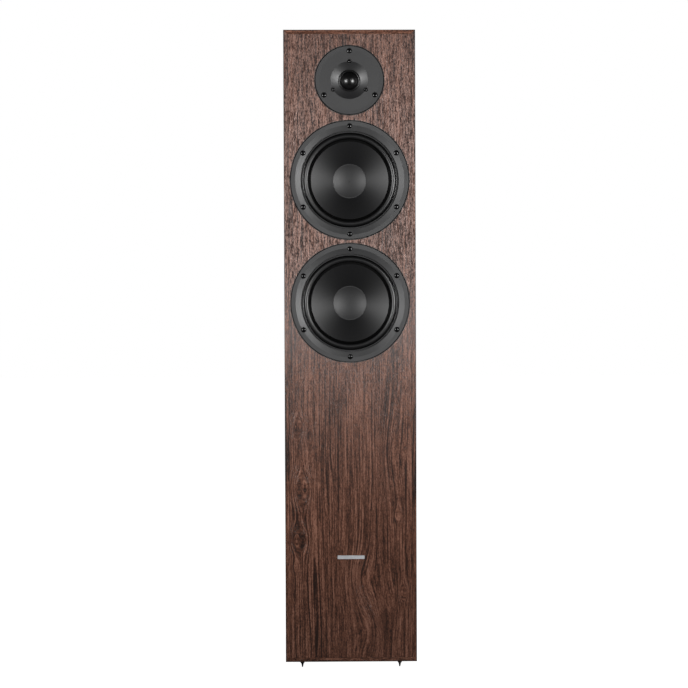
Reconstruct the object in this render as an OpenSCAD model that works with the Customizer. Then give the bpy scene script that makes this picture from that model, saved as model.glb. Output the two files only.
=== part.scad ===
// Floorstanding loudspeaker: a tall slim cabinet with two cone woofers, a soft dome tweeter,
// a rear reflex port, screw-down binding posts and four threaded spikes.
// +Z is up and the front faces -Y. The origin is on the floor, under the middle of the cabinet.
// Sizes are in millimetres.

/* [Cabinet] */
// Width of the cabinet
body_w = 204; // [200:1:230]
// Depth of the cabinet
body_d = 290; // [288:1:340]
// Height of the cabinet without its spikes
body_h = 980; // [960:1:1100]
// Thickness of the folded sides, top and bottom
panel_t = 16; // [15:0.5:18]
// Width of the panel edges that frame the front and the rear
lip_w = 6.5; // [5:0.5:7]
// Thickness of the front baffle
baffle_t = 22; // [20:1:24]
// Thickness of the rear panel
rear_t = 16; // [14:1:18]

/* [Driver places] */
// Distance from the cabinet top down to the tweeter's centre
tweeter_drop = 78; // [72:1:80]
// Distance from the cabinet top down to the upper woofer's centre
upper_woofer_drop = 232; // [230:1:234]
// Distance from the cabinet top down to the lower woofer's centre
lower_woofer_drop = 422; // [421:1:430]
// Distance from the cabinet top down to the badge's centre
badge_drop = 817; // [700:1:850]

/* [Woofers] */
// Diameter of a woofer's outer frame
woofer_d = 182.5; // [181.5:0.5:183.5]
// Diameter of the circle that a woofer's screws lie on
woofer_pcd = 166.7; // [166:0.1:168]
// Diameter of the woofer cone at its outer edge
cone_d = 123; // [122:0.2:123.4]
// Diameter of the inverted dust cap
cap_d = 53; // [50:0.5:54]
// How far the dust cap's middle lies behind its rim
cap_sag = 4.8; // [3:0.2:6]

/* [Tweeter] */
// Diameter of the tweeter's faceplate
tweeter_d = 105.5; // [105:0.1:106]
// Diameter of the tweeter's dome
dome_d = 28; // [27.8:0.1:28]
// Radius of the sphere that the dome is part of
dome_sphere_r = 17; // [16:0.5:20]
// Diameter of the circle that the faceplate's outer screws lie on
tweeter_pcd = 91; // [89:0.5:93]
// Diameter of the circle that the faceplate's inner screws lie on
motor_pcd = 58.4; // [58:0.2:60]

/* [Port and terminals] */
// Height of the port's axis above the floor
port_z = 430; // [415:1:440]
// Inner diameter of the port tube
port_d = 62; // [50:1:62]
// Length of the port tube
port_len = 132; // [100:1:150]
// Height of the terminal cup's centre above the floor
terminal_z = 160; // [130:1:165]
// Distance between the two binding posts
post_pitch = 40; // [36:1:44]
// Diameter of the banana socket in a post
socket_d = 4.1; // [4:0.1:4.2]
// Depth of the banana socket
socket_depth = 16; // [12:1:17]

/* [Feet] */
// Gap under the cabinet when it stands on its spikes
spike_h = 14; // [8:0.5:14]
// Distance between the left and right spikes
spike_pitch_x = 153; // [140:1:155]
// Distance between the front and rear spikes
spike_pitch_y = 232; // [200:1:234]

/* [Hidden] */

// Cabinet heights and faces
cabinet_top = spike_h + body_h;
front_y = -body_d / 2;
rear_y = body_d / 2;
inner_x = body_w / 2 - panel_t;
baffle_back_y = front_y + baffle_t;
rear_inner_y = rear_y - rear_t;
edge_r = 1.2;            // rounding of the panel edges that show
inset_gap = 0.3;         // gap round the inset baffle and rear panel
inset_w = body_w - 2 * (lip_w + inset_gap);
inset_h = body_h - 2 * (lip_w + inset_gap);
proud = 1.2;             // how far frames and flanges stand out of the front and rear
cut = 1;                 // overshoot of a cutting solid past the face that it opens
slack = 0.05;            // radial gap between a screw and its hole
fit_gap = 0.4;           // gap round a flange that lies in a rebate

// Driver heights
tweeter_z = cabinet_top - tweeter_drop;
upper_woofer_z = cabinet_top - upper_woofer_drop;
lower_woofer_z = cabinet_top - lower_woofer_drop;
woofer_zs = [upper_woofer_z, lower_woofer_z];

// Woofer, as radii and heights along its own axis: 0 at the baffle's face, plus towards the front
woofer_r = woofer_d / 2;
woofer_recess = 6;
woofer_recess_r = woofer_r + 1.1;
woofer_hole_r = 77;
woofer_screw_r = woofer_pcd / 2;
woofer_screw_angles = [90, 30, -30, -90, -150, 150];
woofer_shank_r = 2;
woofer_head_r = 3.75;
woofer_screw_tip = -20;
gasket_t = 0.8;
flange_back = gasket_t - woofer_recess;
flange_edge = 0.9;       // height of a frame's or faceplate's outer edge
roll_mid_r = 67.7;
roll_r = 4.4;
roll_t = 0.8;
roll_base = -4;
seat_r = 75.7;           // outer radius of the seat that holds the surround
seat_w = 4;
seat_lip = -0.35;        // height of the frame's face at the edge of the seat
former_r = 19.4;
former_t = 0.4;
neck_r = former_r + slack;
neck_z = -26;
neck_len = 4;
cone_r = cone_d / 2;
cone_t = 0.9;
cone_edge = -5.5;
cone_bow = 0.7;          // how far the cone's side bows towards the front
cone_side = arc_points([cone_r, cone_edge], [neck_r, neck_z], -cone_bow, 16);
cap_r = cap_d / 2;
cap_t = 0.4;
cap_rim_w = 0.9;
cap_rim_t = 0.35;
cap_rim = lookup(cap_r, cone_side) + cap_rim_t;
cap_ball_r = (cap_r * cap_r + cap_sag * cap_sag) / (2 * cap_sag);
winding_r = 20;
winding_top = -42;
winding_bottom = -56;
spider_seat = -34.6;
spider_t = 0.7;
spider_in_r = former_r + 0.1;
spider_out_r = 49.6;
spider_waves = 5;
spider_wave_h = 1.4;
platform_front = -43;
platform_back = -46;
platform_in_r = 22.5;
platform_out_r = 48;
ledge_in_r = 45.5;       // inner radius of the ledge that the spider is glued to
woofer_plate_back = -52;
woofer_magnet_back = -69;
woofer_yoke_back = -77;
woofer_pole_r = 18.2;
woofer_pole_top = -43.5;
woofer_magnet_r = 50;
woofer_plate_r = 45;
woofer_yoke_r = 46;
window_count = 6;
window_sweep = 44;
window_front = -12.5;
window_back = -31.5;

// Tweeter, along its own axis as the woofer
tweeter_r = tweeter_d / 2;
tweeter_recess = 4;
tweeter_recess_r = tweeter_r + 1;
tweeter_hole_r = 37;
tweeter_shank_r = 1.75;
tweeter_head_r = 3.5;
tweeter_screw_tip = -18;
motor_shank_r = 1.5;
motor_head_r = 2.5;
motor_screw_tip = -11;
tweeter_screw_r = tweeter_pcd / 2;
motor_screw_r = motor_pcd / 2;
tweeter_screw_angles = [90, 210, 330];
throat_r = 17.2;
throat_z = -4.6;
bowl_r = 29.1;
bowl_sag = 0.15;         // how far the waveguide's side sags behind a straight line
boss_r = 35.6;           // radius of the step that fits the baffle's hole
lip_in_r = 46.5;         // inner radius of the faceplate's slightly raised rim
dome_r = dome_d / 2;
dome_t = 0.4;
dome_base = -7;
dome_centre = dome_base - sqrt(dome_sphere_r * dome_sphere_r - dome_r * dome_r);
glue_r = 19.6;           // outer radius of the flat ring that the tweeter's surround is glued by
small_roll_r = 15.2;
small_roll_out = 1.15;
small_roll_in = 0.8;
tweeter_plate_front = -7.4;
tweeter_plate_back = -11.4;
tweeter_magnet_back = -23.4;
tweeter_yoke_back = -28.4;
chamber_back = -46.4;
tweeter_motor_r = 36;
gap_r = dome_r + 0.8;    // outer radius of the magnetic gap
tweeter_pole_r = dome_r - 0.7;

// Rear fittings
port_r = port_d / 2;
port_wall = 2.5;
mouth_flare = 11;
tail_flare = 8;
port_flange_r = 52;
rear_rebate = 1.3;
cup_flange = [116, 86];
cup_flange_t = 2.5;
cup_flange_corner = 6;
cup_body = [95, 65];
cup_body_corner = 4;
cup_recess = [90, 60];
cup_recess_corner = 3;
cup_depth = 24;
cup_floor_y = rear_y + proud - cup_depth + 3;
cup_back_y = rear_y + proud - cup_depth;
cup_screw_x = 52;
cup_screw_z = 37;
cup_shank_r = 1.7;
cup_head_r = 3.4;
cup_head_h = 1.1;
cup_screw_tip = -13.5;
post_boss_r = 9;
boss_h = 2;              // height of the insulating boss under a binding post
stud_r = 3;
stud_tip_y = cup_floor_y + 17.2;
stud_back_y = cup_back_y - 9.2;
socket_r = socket_d / 2;
core_r = 5.5;
core_y = cup_floor_y + boss_h + 0.8;
core_len = 13;
cap_y = cup_floor_y + boss_h + 0.2;
knob_r = 8.5;
knob_len = 16;
knob_end_t = 2.2;
run_gap = 0.05;          // running clearance of the screw-down caps and the spikes
nut_t = 3;
nut_r = 4.6;

// Feet
spike_shank_r = 3;
insert_r = 5;
insert_len = 14;
spike_x = spike_pitch_x / 2;
spike_y = spike_pitch_y / 2;

// Internal parts
brace_t = 16;
upper_brace_z = (upper_woofer_z + lower_woofer_z) / 2;
lower_brace_z = 330;
board_w = 120;
board_h = 80;
board_z = 265;
board_t = 1.6;
board_y = rear_inner_y - 8;
coils = [[-36, 15, 20, 8, 18], [20, 16, 17, 7, 16]];           // x, z, outer and inner radius, height
capacitors = [[-36, -19, 32], [3, -16, 26], [38, -21, 24]];    // x, z, length
capacitor_r = 8;
resistors = [[-44, -34], [0, -33], [43, -35]];                 // x, z
resistor_size = [24, 7, 7];
trunk_x = 57;
trunk_y = 85;
trunk_r = 3;
lead_r = 2;
woofer_tag_y = front_y + 38;
tweeter_tag_x = 40;
input_y = stud_back_y - 8;
input_z = board_z - 33;
fn_round = 96;           // facets on large turned parts
fn_small = 32;           // facets on screws, leads and pins

// ---------- helpers ----------

// Points of an arc from p to q in the turning plane, bowed sideways by sag
function arc_points(p, q, sag, n) =
    let (
        chord = q - p,
        len = norm(chord),
        side = [-chord[1], chord[0]] / len,
        r = len * len / (8 * abs(sag)) + abs(sag) / 2,
        dir = sag > 0 ? 1 : -1,
        centre = (p + q) / 2 - side * dir * (r - abs(sag)),
        a0 = atan2(p[1] - centre[1], p[0] - centre[0]),
        raw = atan2(q[1] - centre[1], q[0] - centre[0]) - a0,
        turn = raw > 180 ? raw - 360 : raw < -180 ? raw + 360 : raw
    )
    [for (i = [0:n]) centre + r * [cos(a0 + turn * i / n), sin(a0 + turn * i / n)]];

function shifted(points, v) = [for (p = points) p + v];
function reversed(points) = [for (i = [len(points) - 1:-1:0]) points[i]];

// Puts a child that is built along +Z onto the front at height z, pointing out of the front
module on_front(z) {
    translate([0, front_y, z]) rotate([90, 0, 0]) children();
}

// Puts a child that is built along +Z onto the rear at height z, pointing out of the rear
module on_rear(z) {
    translate([0, rear_y, z]) rotate([-90, 0, 0]) children();
}

// A solid turned about Z from an outline of radii and heights
module turned(points) {
    rotate_extrude($fn = fn_round) polygon(points);
}

// A ring between two radii, from height a to height b
module ring(r_out, r_in, a, b) {
    turned([[r_in, a], [r_out, a], [r_out, b], [r_in, b]]);
}

// A round bar along Z from height a to height b
module bar(r, a, b, fn = fn_small) {
    translate([0, 0, a]) cylinder(r = r, h = b - a, $fn = fn);
}

// Repeats a child at each of the angles, at radius r
module around(r, angles) {
    for (t = angles) rotate([0, 0, t]) translate([r, 0, 0]) children();
}

// A flat rectangle with round corners, in the XY plane
module rounded_rect(size, r) {
    square([size[0] - 2 * r, size[1]], center = true);
    square([size[0], size[1] - 2 * r], center = true);
    for (x = [-1, 1], y = [-1, 1])
        translate([x * (size[0] / 2 - r), y * (size[1] / 2 - r)]) circle(r = r, $fn = fn_small);
}

// A block with round corners, from height a to height b
module rounded_block(size, r, a, b) {
    translate([0, 0, a]) linear_extrude(b - a) rounded_rect(size, r);
}

// A screw along +Z with its head's top at height top: point, plain shank, domed head and hex drive
module screw(head_r, head_h, shank_r, tip, top) {
    dome_h = head_h * 0.45;
    dome_sag = head_r * 0.09;
    drive_r = head_r * 0.36;
    drive_depth = head_h * 0.5;
    dome = arc_points([head_r, top - dome_h], [0, top], -dome_sag, 8);
    difference() {
        turned(concat(
            [[0, tip], [shank_r, tip + 2 * shank_r], [shank_r, top - head_h], [head_r, top - head_h]],
            dome
        ));
        translate([0, 0, top - drive_depth]) cylinder(r = drive_r, h = head_h, $fn = 6);
    }
}

// A hole that sinks a screw's head: straight down to bottom, with its mouth chamfered at top
module head_hole(r, bottom, top) {
    chamfer = 0.5;
    bar(r, bottom, top + cut);
    translate([0, 0, top - chamfer]) cylinder(r1 = r, r2 = r + 2 * chamfer, h = 2 * chamfer, $fn = fn_small);
}

// ---------- cabinet ----------

// Section of a folded panel: X is its thickness from the outside face, Y is its depth
module panel_section() {
    difference() {
        translate([0, front_y]) square([panel_t, body_d]);
        translate([lip_w, front_y - cut]) square([panel_t, baffle_t + cut]);
        translate([lip_w, rear_inner_y]) square([panel_t, rear_t + cut]);
        for (s = [-1, 1]) translate([0, s * rear_y]) difference() {
            square(2 * edge_r, center = true);
            translate([edge_r, -s * edge_r]) circle(r = edge_r, $fn = fn_small);
        }
    }
}

// A folded panel with both ends mitred at 45 degrees, standing on its lower end
module folded_panel(length) {
    intersection() {
        linear_extrude(length) panel_section();
        rotate([90, 0, 0]) linear_extrude(body_d + 2 * cut, center = true)
            polygon([[0, 0], [panel_t, panel_t], [panel_t, length - panel_t], [0, length]]);
    }
}

module spike_places() {
    for (x = [-spike_x, spike_x], y = [-spike_y, spike_y]) translate([x, y, 0]) children();
}

module side_panel_left() {
    color("#5d4438") translate([-body_w / 2, 0, spike_h]) folded_panel(body_h);
}

module side_panel_right() {
    color("#5d4438") mirror([1, 0, 0]) translate([-body_w / 2, 0, spike_h]) folded_panel(body_h);
}

module top_panel() {
    color("#63493c") translate([-body_w / 2, 0, cabinet_top]) rotate([0, 90, 0]) folded_panel(body_w);
}

module bottom_panel() {
    color("#4e382e") difference() {
        translate([body_w / 2, 0, spike_h]) rotate([0, -90, 0]) folded_panel(body_w);
        spike_places() bar(insert_r + slack, spike_h - cut, spike_h + insert_len);
    }
}

module front_baffle() {
    color("#5a4136") difference() {
        translate([-inset_w / 2, front_y, cabinet_top - (body_h + inset_h) / 2])
            cube([inset_w, baffle_t, inset_h]);
        for (z = woofer_zs) on_front(z) {
            bar(woofer_recess_r, -woofer_recess, cut, fn_round);
            bar(woofer_hole_r, -baffle_t - cut, cut, fn_round);
            around(woofer_screw_r, woofer_screw_angles)
                bar(woofer_shank_r + slack, woofer_screw_tip - cut, 0);
        }
        on_front(tweeter_z) {
            bar(tweeter_recess_r, -tweeter_recess, cut, fn_round);
            bar(tweeter_hole_r, -baffle_t - cut, cut, fn_round);
            around(tweeter_screw_r, tweeter_screw_angles)
                bar(tweeter_shank_r + slack, tweeter_screw_tip - cut, 0);
        }
    }
}

module rear_panel() {
    tube_gap = 0.6;
    body_gap = 0.2;
    color("#54402f") difference() {
        translate([-inset_w / 2, rear_inner_y, cabinet_top - (body_h + inset_h) / 2])
            cube([inset_w, rear_t, inset_h]);
        on_rear(port_z) {
            bar(port_flange_r + fit_gap, -rear_rebate, cut, fn_round);
            bar(port_r + mouth_flare + tube_gap, -rear_t - cut, cut, fn_round);
        }
        on_rear(terminal_z) {
            rounded_block(cup_flange + 2 * [fit_gap, fit_gap], cup_flange_corner, -rear_rebate, cut);
            rounded_block(cup_body + 2 * [body_gap, body_gap], cup_body_corner, -rear_t - cut, cut);
            cup_screw_places() bar(cup_shank_r + slack, cup_screw_tip - cut, 0);
        }
    }
}

// A horizontal brace with one large window
module brace(z) {
    depth = rear_inner_y - baffle_back_y;
    side_w = 22;
    end_w = 27.5;
    window_corner = 12;
    window = [2 * (inner_x - side_w), depth - 2 * end_w];
    difference() {
        translate([-inner_x, baffle_back_y, z - brace_t / 2]) cube([2 * inner_x, depth, brace_t]);
        translate([0, (rear_inner_y + baffle_back_y) / 2, z])
            rounded_block(window, window_corner, -brace_t, brace_t);
    }
}

module upper_brace() {
    color("#b79a74") brace(upper_brace_z);
}

module lower_brace() {
    color("#b79a74") brace(lower_brace_z);
}

// Two pads of fibre against the rear panel, above the port
module damping_wadding() {
    pad_w = 150;
    pad_t = 26;
    wall_gap = 1;
    end_gap = 12;
    top_gap = 105;
    pad_y = rear_inner_y - wall_gap - pad_t;
    low_pad = [port_z + port_flange_r + end_gap, upper_brace_z - brace_t / 2 - end_gap];
    high_pad = [upper_brace_z + brace_t / 2 + end_gap, cabinet_top - top_gap];
    color("#d9d6cc") for (span = [low_pad, high_pad])
        translate([-pad_w / 2, pad_y, span[0]]) cube([pad_w, pad_t, span[1] - span[0]]);
}

module name_badge() {
    badge = [42, 5.5];
    badge_t = 0.8;
    badge_corner = 1;
    color("#c9cbd0") on_front(cabinet_top - badge_drop) rounded_block(badge, badge_corner, 0, badge_t);
}

// ---------- port ----------

module port_tube() {
    mouth_z = proud - mouth_flare;
    tail_z = proud - port_len + tail_flare;
    color("#17171a") on_rear(port_z) rotate_extrude($fn = fn_round) {
        translate([port_r, tail_z]) square([port_wall, mouth_z - tail_z]);
        translate([port_r + mouth_flare, mouth_z]) flare(mouth_flare, [-mouth_flare, 0]);
        translate([port_r + tail_flare, tail_z]) flare(tail_flare, [-tail_flare, -tail_flare]);
        translate([port_r + mouth_flare, proud - port_wall])
            square([port_flange_r - port_r - mouth_flare, port_wall]);
    }
}

// A quarter of a rounded rim, kept where the square at corner lies
module flare(r, corner) {
    intersection() {
        difference() {
            circle(r = r, $fn = fn_round);
            circle(r = r - port_wall, $fn = fn_round);
        }
        translate(corner) square(r);
    }
}

// ---------- terminals ----------

module cup_screw_places() {
    for (x = [-cup_screw_x, cup_screw_x], y = [-cup_screw_z, cup_screw_z])
        translate([x, y, 0]) children();
}

// Puts a child that is built along +Y at the red post for side 1 or the black post for side -1
module at_post(side) {
    translate([side * post_pitch / 2, 0, terminal_z]) children();
}

// A round bar along +Y from y a to y b
module bar_y(r, a, b, fn = fn_small) {
    translate([0, a, 0]) rotate([-90, 0, 0]) cylinder(r = r, h = b - a, $fn = fn);
}

module terminal_cup() {
    screw_gap = 0.2;
    head_gap = 0.3;
    head_drop = 1.2;
    join = 1;
    color("#1b1b1d") difference() {
        union() {
            on_rear(terminal_z) difference() {
                union() {
                    rounded_block(cup_flange, cup_flange_corner, proud - cup_flange_t, proud);
                    rounded_block(cup_body, cup_body_corner, proud - cup_depth, proud - join);
                }
                rounded_block(cup_recess, cup_recess_corner, cup_floor_y - rear_y, proud + cut);
                cup_screw_places() {
                    bar(cup_shank_r + screw_gap, proud - cup_flange_t - cut, proud + cut);
                    bar(cup_head_r + head_gap, proud - head_drop, proud + cut);
                }
            }
            for (side = [-1, 1]) at_post(side)
                bar_y(post_boss_r, cup_floor_y - join / 2, cup_floor_y + boss_h);
        }
        for (side = [-1, 1]) at_post(side) bar_y(stud_r + slack, cup_back_y - cut, rear_y);
    }
}

module terminal_cup_screws() {
    color("#2a2a2c") on_rear(terminal_z) cup_screw_places()
        screw(cup_head_r, cup_head_h, cup_shank_r, cup_screw_tip, proud - 0.1);
}

module post_stud(side) {
    color("#c8a552") at_post(side) difference() {
        bar_y(stud_r, stud_back_y, stud_tip_y);
        bar_y(socket_r, stud_tip_y - socket_depth, stud_tip_y + cut);
    }
}

module post_stud_red() {
    post_stud(1);
}

module post_stud_black() {
    post_stud(-1);
}

// The threaded metal sleeve inside a post's cap, which runs along the stud
module post_core(side) {
    color("#c8a552") at_post(side) difference() {
        bar_y(core_r, core_y, core_y + core_len, fn_round);
        bar_y(stud_r + run_gap, core_y - cut, core_y + core_len + cut);
    }
}

module post_core_red() {
    post_core(1);
}

module post_core_black() {
    post_core(-1);
}

// A ribbed cap that turns about the post
module post_cap(side, tint) {
    rib_count = 18;
    rib_r = 0.9;
    rib_start = 2.5;         // plain collar below the ribs
    rib_centre_r = knob_r + 0.3;
    eye_r = stud_r + 0.4;
    color(tint) at_post(side) difference() {
        bar_y(knob_r, cap_y, cap_y + knob_len, fn_round);
        bar_y(core_r + run_gap, cap_y - cut, cap_y + knob_len - knob_end_t, fn_round);
        bar_y(eye_r, cap_y, cap_y + knob_len + cut);
        for (i = [0:rib_count - 1]) rotate([0, i * 360 / rib_count, 0])
            translate([rib_centre_r, 0, 0]) bar_y(rib_r, cap_y + rib_start, cap_y + knob_len + cut, 16);
    }
}

module post_cap_red() {
    post_cap(1, "#a01c1c");
}

module post_cap_black() {
    post_cap(-1, "#1a1a1a");
}

module post_nuts() {
    color("#b9bcc0") for (side = [-1, 1]) at_post(side) difference() {
        bar_y(nut_r, cup_back_y - nut_t, cup_back_y, 6);
        bar_y(stud_r + slack, cup_back_y - nut_t - cut, cup_back_y + cut);
    }
}

// ---------- feet ----------

module spike_inserts() {
    color("#b9bcc0") spike_places() difference() {
        bar(insert_r, spike_h, spike_h + insert_len);
        bar(spike_shank_r + run_gap, spike_h - cut, spike_h + insert_len + cut);
    }
}

// A spike: blunt round tip, slender cone, collar under the cabinet and a threaded shank
module spike(x_side, y_side) {
    collar_r = 3.5;
    collar_h = spike_h * 0.38;
    waist_r = 1.8;
    waist_z = spike_h * 0.4;
    flare_sag = 0.35;
    tip_r = 1;
    chamfer = 0.6;
    collar_z = spike_h - 0.2;
    shank_top = spike_h + insert_len - 1.5;
    tip = [for (t = [-90:15:0]) [tip_r * cos(t), tip_r + tip_r * sin(t)]];
    flare = arc_points([waist_r, waist_z], [collar_r, collar_z - collar_h], -flare_sag, 5);
    color("#131315") translate([x_side * spike_x, y_side * spike_y, 0])
        rotate_extrude($fn = fn_small) polygon(concat(
            tip, flare,
            [
                [collar_r, collar_z], [spike_shank_r, collar_z],
                [spike_shank_r, shank_top - chamfer], [spike_shank_r - chamfer, shank_top], [0, shank_top]
            ]
        ));
}

module spike_front_left() {
    spike(-1, -1);
}

module spike_front_right() {
    spike(1, -1);
}

module spike_rear_left() {
    spike(-1, 1);
}

module spike_rear_right() {
    spike(1, 1);
}

// ---------- crossover and leads ----------

module crossover_board() {
    spacer_r = 3.5;
    spacer_inset = 8;
    spacer_x = board_w / 2 - spacer_inset;
    spacer_z = board_h / 2 - spacer_inset;
    color("#1f5a34") {
        translate([-board_w / 2, board_y, board_z - board_h / 2]) cube([board_w, board_t, board_h]);
        for (x = [-spacer_x, spacer_x], z = [-spacer_z, spacer_z])
            translate([x, 0, board_z + z]) bar_y(spacer_r, board_y + board_t / 2, rear_inner_y);
    }
}

// Puts a child that is built along +Z onto the board, at x and z from the board's centre
module on_board(x, z) {
    translate([x, board_y, board_z + z]) rotate([90, 0, 0]) children();
}

module crossover_inductors() {
    color("#b0622c") for (c = coils) on_board(c[0], c[1]) ring(c[2], c[3], 0, c[4]);
}

module crossover_capacitors() {
    lift = 0.1;
    color("#d8b23a") for (c = capacitors)
        on_board(c[0], c[1]) translate([-c[2] / 2, 0, capacitor_r + lift]) rotate([0, 90, 0])
            cylinder(r = capacitor_r, h = c[2], $fn = fn_small);
}

module crossover_resistors() {
    half = resistor_size / 2;
    color("#e8e6df") for (c = resistors)
        on_board(c[0], c[1]) translate([-half[0], -half[1], 0]) cube(resistor_size);
}

// A lead made of straight runs with a slightly larger ball at each bend
module lead(points, r) {
    ball = 1.2;
    for (i = [0:len(points) - 2]) {
        run = points[i + 1] - points[i];
        translate(points[i])
            rotate([0, acos(run[2] / norm(run)), atan2(run[1], run[0])])
                cylinder(r = r, h = norm(run), $fn = fn_small);
        if (i > 0) translate(points[i]) sphere(r = ball * r, $fn = fn_small);
    }
}

module wiring_loom() {
    color("#8c2f2a") {
        lead([
            [trunk_x, board_y, board_z], [trunk_x, trunk_y, board_z],
            [trunk_x, trunk_y, tweeter_z], [tweeter_tag_x, trunk_y, tweeter_z],
            [tweeter_tag_x, front_y - tweeter_yoke_back, tweeter_z]
        ], trunk_r);
        for (z = woofer_zs) lead([[trunk_x, trunk_y, z], [trunk_x, woofer_tag_y, z]], lead_r);
        for (x = [-post_pitch / 2, post_pitch / 2]) lead([
            [x, stud_back_y, terminal_z], [x, input_y, terminal_z],
            [x, input_y, input_z], [x, board_y, input_z]
        ], lead_r);
    }
}

// ---------- tweeter ----------

module tweeter_faceplate() {
    bowl_rim = [bowl_r, 0.8];
    lip = [[tweeter_r, flange_edge - 0.4], [tweeter_r - 0.4, flange_edge], [lip_in_r, 0.6]];
    foot_r = 20;
    hole_gap = 0.2;
    head_gap = 0.25;
    color("#2b2b2d") on_front(tweeter_z) difference() {
        turned(concat(
            [
                [throat_r, dome_base], [foot_r, dome_base], [foot_r, tweeter_plate_front],
                [boss_r, tweeter_plate_front], [boss_r, -tweeter_recess], [tweeter_r, -tweeter_recess]
            ],
            lip,
            arc_points(bowl_rim, [throat_r, throat_z], bowl_sag, 8)
        ));
        around(tweeter_screw_r, tweeter_screw_angles) {
            bar(tweeter_shank_r + hole_gap, -tweeter_recess - cut, cut);
            head_hole(tweeter_head_r + head_gap, -2.3, flange_edge - 0.2);
        }
        around(motor_screw_r, tweeter_screw_angles) {
            bar(motor_shank_r + hole_gap / 2, tweeter_plate_front - cut, cut);
            bar(motor_head_r + 1, -2.4, cut);
        }
    }
}

module tweeter_surround() {
    color("#161617") on_front(tweeter_z) rotate_extrude($fn = fn_round) {
        translate([small_roll_r, dome_base]) half_roll(small_roll_out, small_roll_in);
        translate([small_roll_r + small_roll_in, tweeter_plate_front])
            square([glue_r - small_roll_r - small_roll_in, dome_base - tweeter_plate_front]);
    }
}

// The upper half of a ring, in the turning plane
module half_roll(r_out, r_in) {
    difference() {
        circle(r = r_out, $fn = fn_round);
        circle(r = r_in, $fn = fn_round);
        translate([-2 * r_out, -2 * r_out]) square([4 * r_out, 2 * r_out]);
    }
}

module tweeter_dome() {
    color("#121213") on_front(tweeter_z) rotate_extrude($fn = fn_round) intersection() {
        translate([0, dome_centre]) difference() {
            circle(r = dome_sphere_r, $fn = 2 * fn_round);
            circle(r = dome_sphere_r - dome_t, $fn = 2 * fn_round);
        }
        translate([0, dome_base]) square(dome_sphere_r);
    }
}

module tweeter_voice_coil() {
    coil_in = dome_r - 0.3;
    coil_out = dome_r + 0.35;
    coil_back = -13.4;
    coil_front = -9.4;
    color("#b0622c") on_front(tweeter_z) turned([
        [coil_in, coil_back], [coil_out, coil_back], [coil_out, coil_front],
        [dome_r, coil_front], [dome_r, dome_base], [coil_in, dome_base]
    ]);
}

module tweeter_top_plate() {
    color("#9a9ca0") on_front(tweeter_z) difference() {
        ring(tweeter_motor_r, gap_r, tweeter_plate_back, tweeter_plate_front);
        around(motor_screw_r, tweeter_screw_angles)
            bar(motor_shank_r + slack, tweeter_plate_back - cut, tweeter_plate_front + cut);
    }
}

module tweeter_magnet() {
    magnet_in_r = 17.5;
    color("#3a3a3c") on_front(tweeter_z)
        ring(tweeter_motor_r, magnet_in_r, tweeter_magnet_back, tweeter_plate_back);
}

module tweeter_yoke() {
    vent_r = 3;
    yoke_r = tweeter_motor_r - 1;
    pole_top = tweeter_plate_front - 0.5;
    tag = [12, 8, 4];
    color("#9a9ca0") on_front(tweeter_z) {
        turned([
            [vent_r, tweeter_yoke_back], [yoke_r, tweeter_yoke_back], [yoke_r, tweeter_magnet_back],
            [tweeter_pole_r, tweeter_magnet_back], [tweeter_pole_r, pole_top], [vent_r, pole_top]
        ]);
        translate([yoke_r - 2, -tag[1] / 2, tweeter_yoke_back]) cube(tag);
    }
}

module tweeter_rear_chamber() {
    chamber_r = 31;
    wall = 1.5;
    color("#232325") on_front(tweeter_z) turned([
        [0, chamber_back], [chamber_r, chamber_back], [chamber_r, tweeter_yoke_back],
        [chamber_r - wall, tweeter_yoke_back], [chamber_r - wall, chamber_back + wall],
        [0, chamber_back + wall]
    ]);
}

module tweeter_mounting_screws() {
    color("#1d1d1f") on_front(tweeter_z) around(tweeter_screw_r, tweeter_screw_angles)
        screw(tweeter_head_r, 2, tweeter_shank_r, tweeter_screw_tip, -0.3);
}

module tweeter_assembly_screws() {
    color("#6a6b6e") on_front(tweeter_z) around(motor_screw_r, tweeter_screw_angles)
        screw(motor_head_r, 2.2, motor_shank_r, motor_screw_tip, -0.2);
}

// ---------- woofers ----------

// The frame: trim face, seat for the surround, spoked wall, spider ledge and rear platform
module woofer_basket() {
    wall_foot = [53, platform_front + 5];
    wall_r = seat_r + 0.2;
    shelf_z = roll_base - 4.5;   // underside of the seat
    tag = [8, 10, 6];
    difference() {
        turned([
            [platform_in_r, platform_back], [platform_out_r, platform_back],
            [platform_out_r + 2.5, platform_front], wall_foot, [wall_r, -9],
            [wall_r, flange_back], [woofer_r, flange_back], [woofer_r, flange_edge],
            [woofer_r - 0.3, proud], [woofer_screw_r + 1.2, proud],
            [seat_r + 0.3, seat_lip], [seat_r, seat_lip - 0.3], [seat_r, roll_base],
            [seat_r - seat_w, roll_base], [seat_r - seat_w, shelf_z],
            [spider_out_r + 0.4, spider_seat], [ledge_in_r, spider_seat],
            [ledge_in_r, platform_front], [platform_in_r, platform_front]
        ]);
        for (k = [0:window_count - 1])
            rotate([0, 0, (k + 0.5) * 360 / window_count - window_sweep / 2])
                rotate_extrude(angle = window_sweep, $fn = fn_round)
                    translate([46, window_back]) square([34, window_front - window_back]);
        around(woofer_screw_r, woofer_screw_angles) {
            bar(woofer_shank_r + 0.3, flange_back - cut, 2 * cut);
            head_hole(woofer_head_r + 0.2, -2.6, proud);
        }
    }
    translate([wall_foot[0] + 1, -tag[1] / 2, wall_foot[1]]) cube(tag);
}

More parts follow.
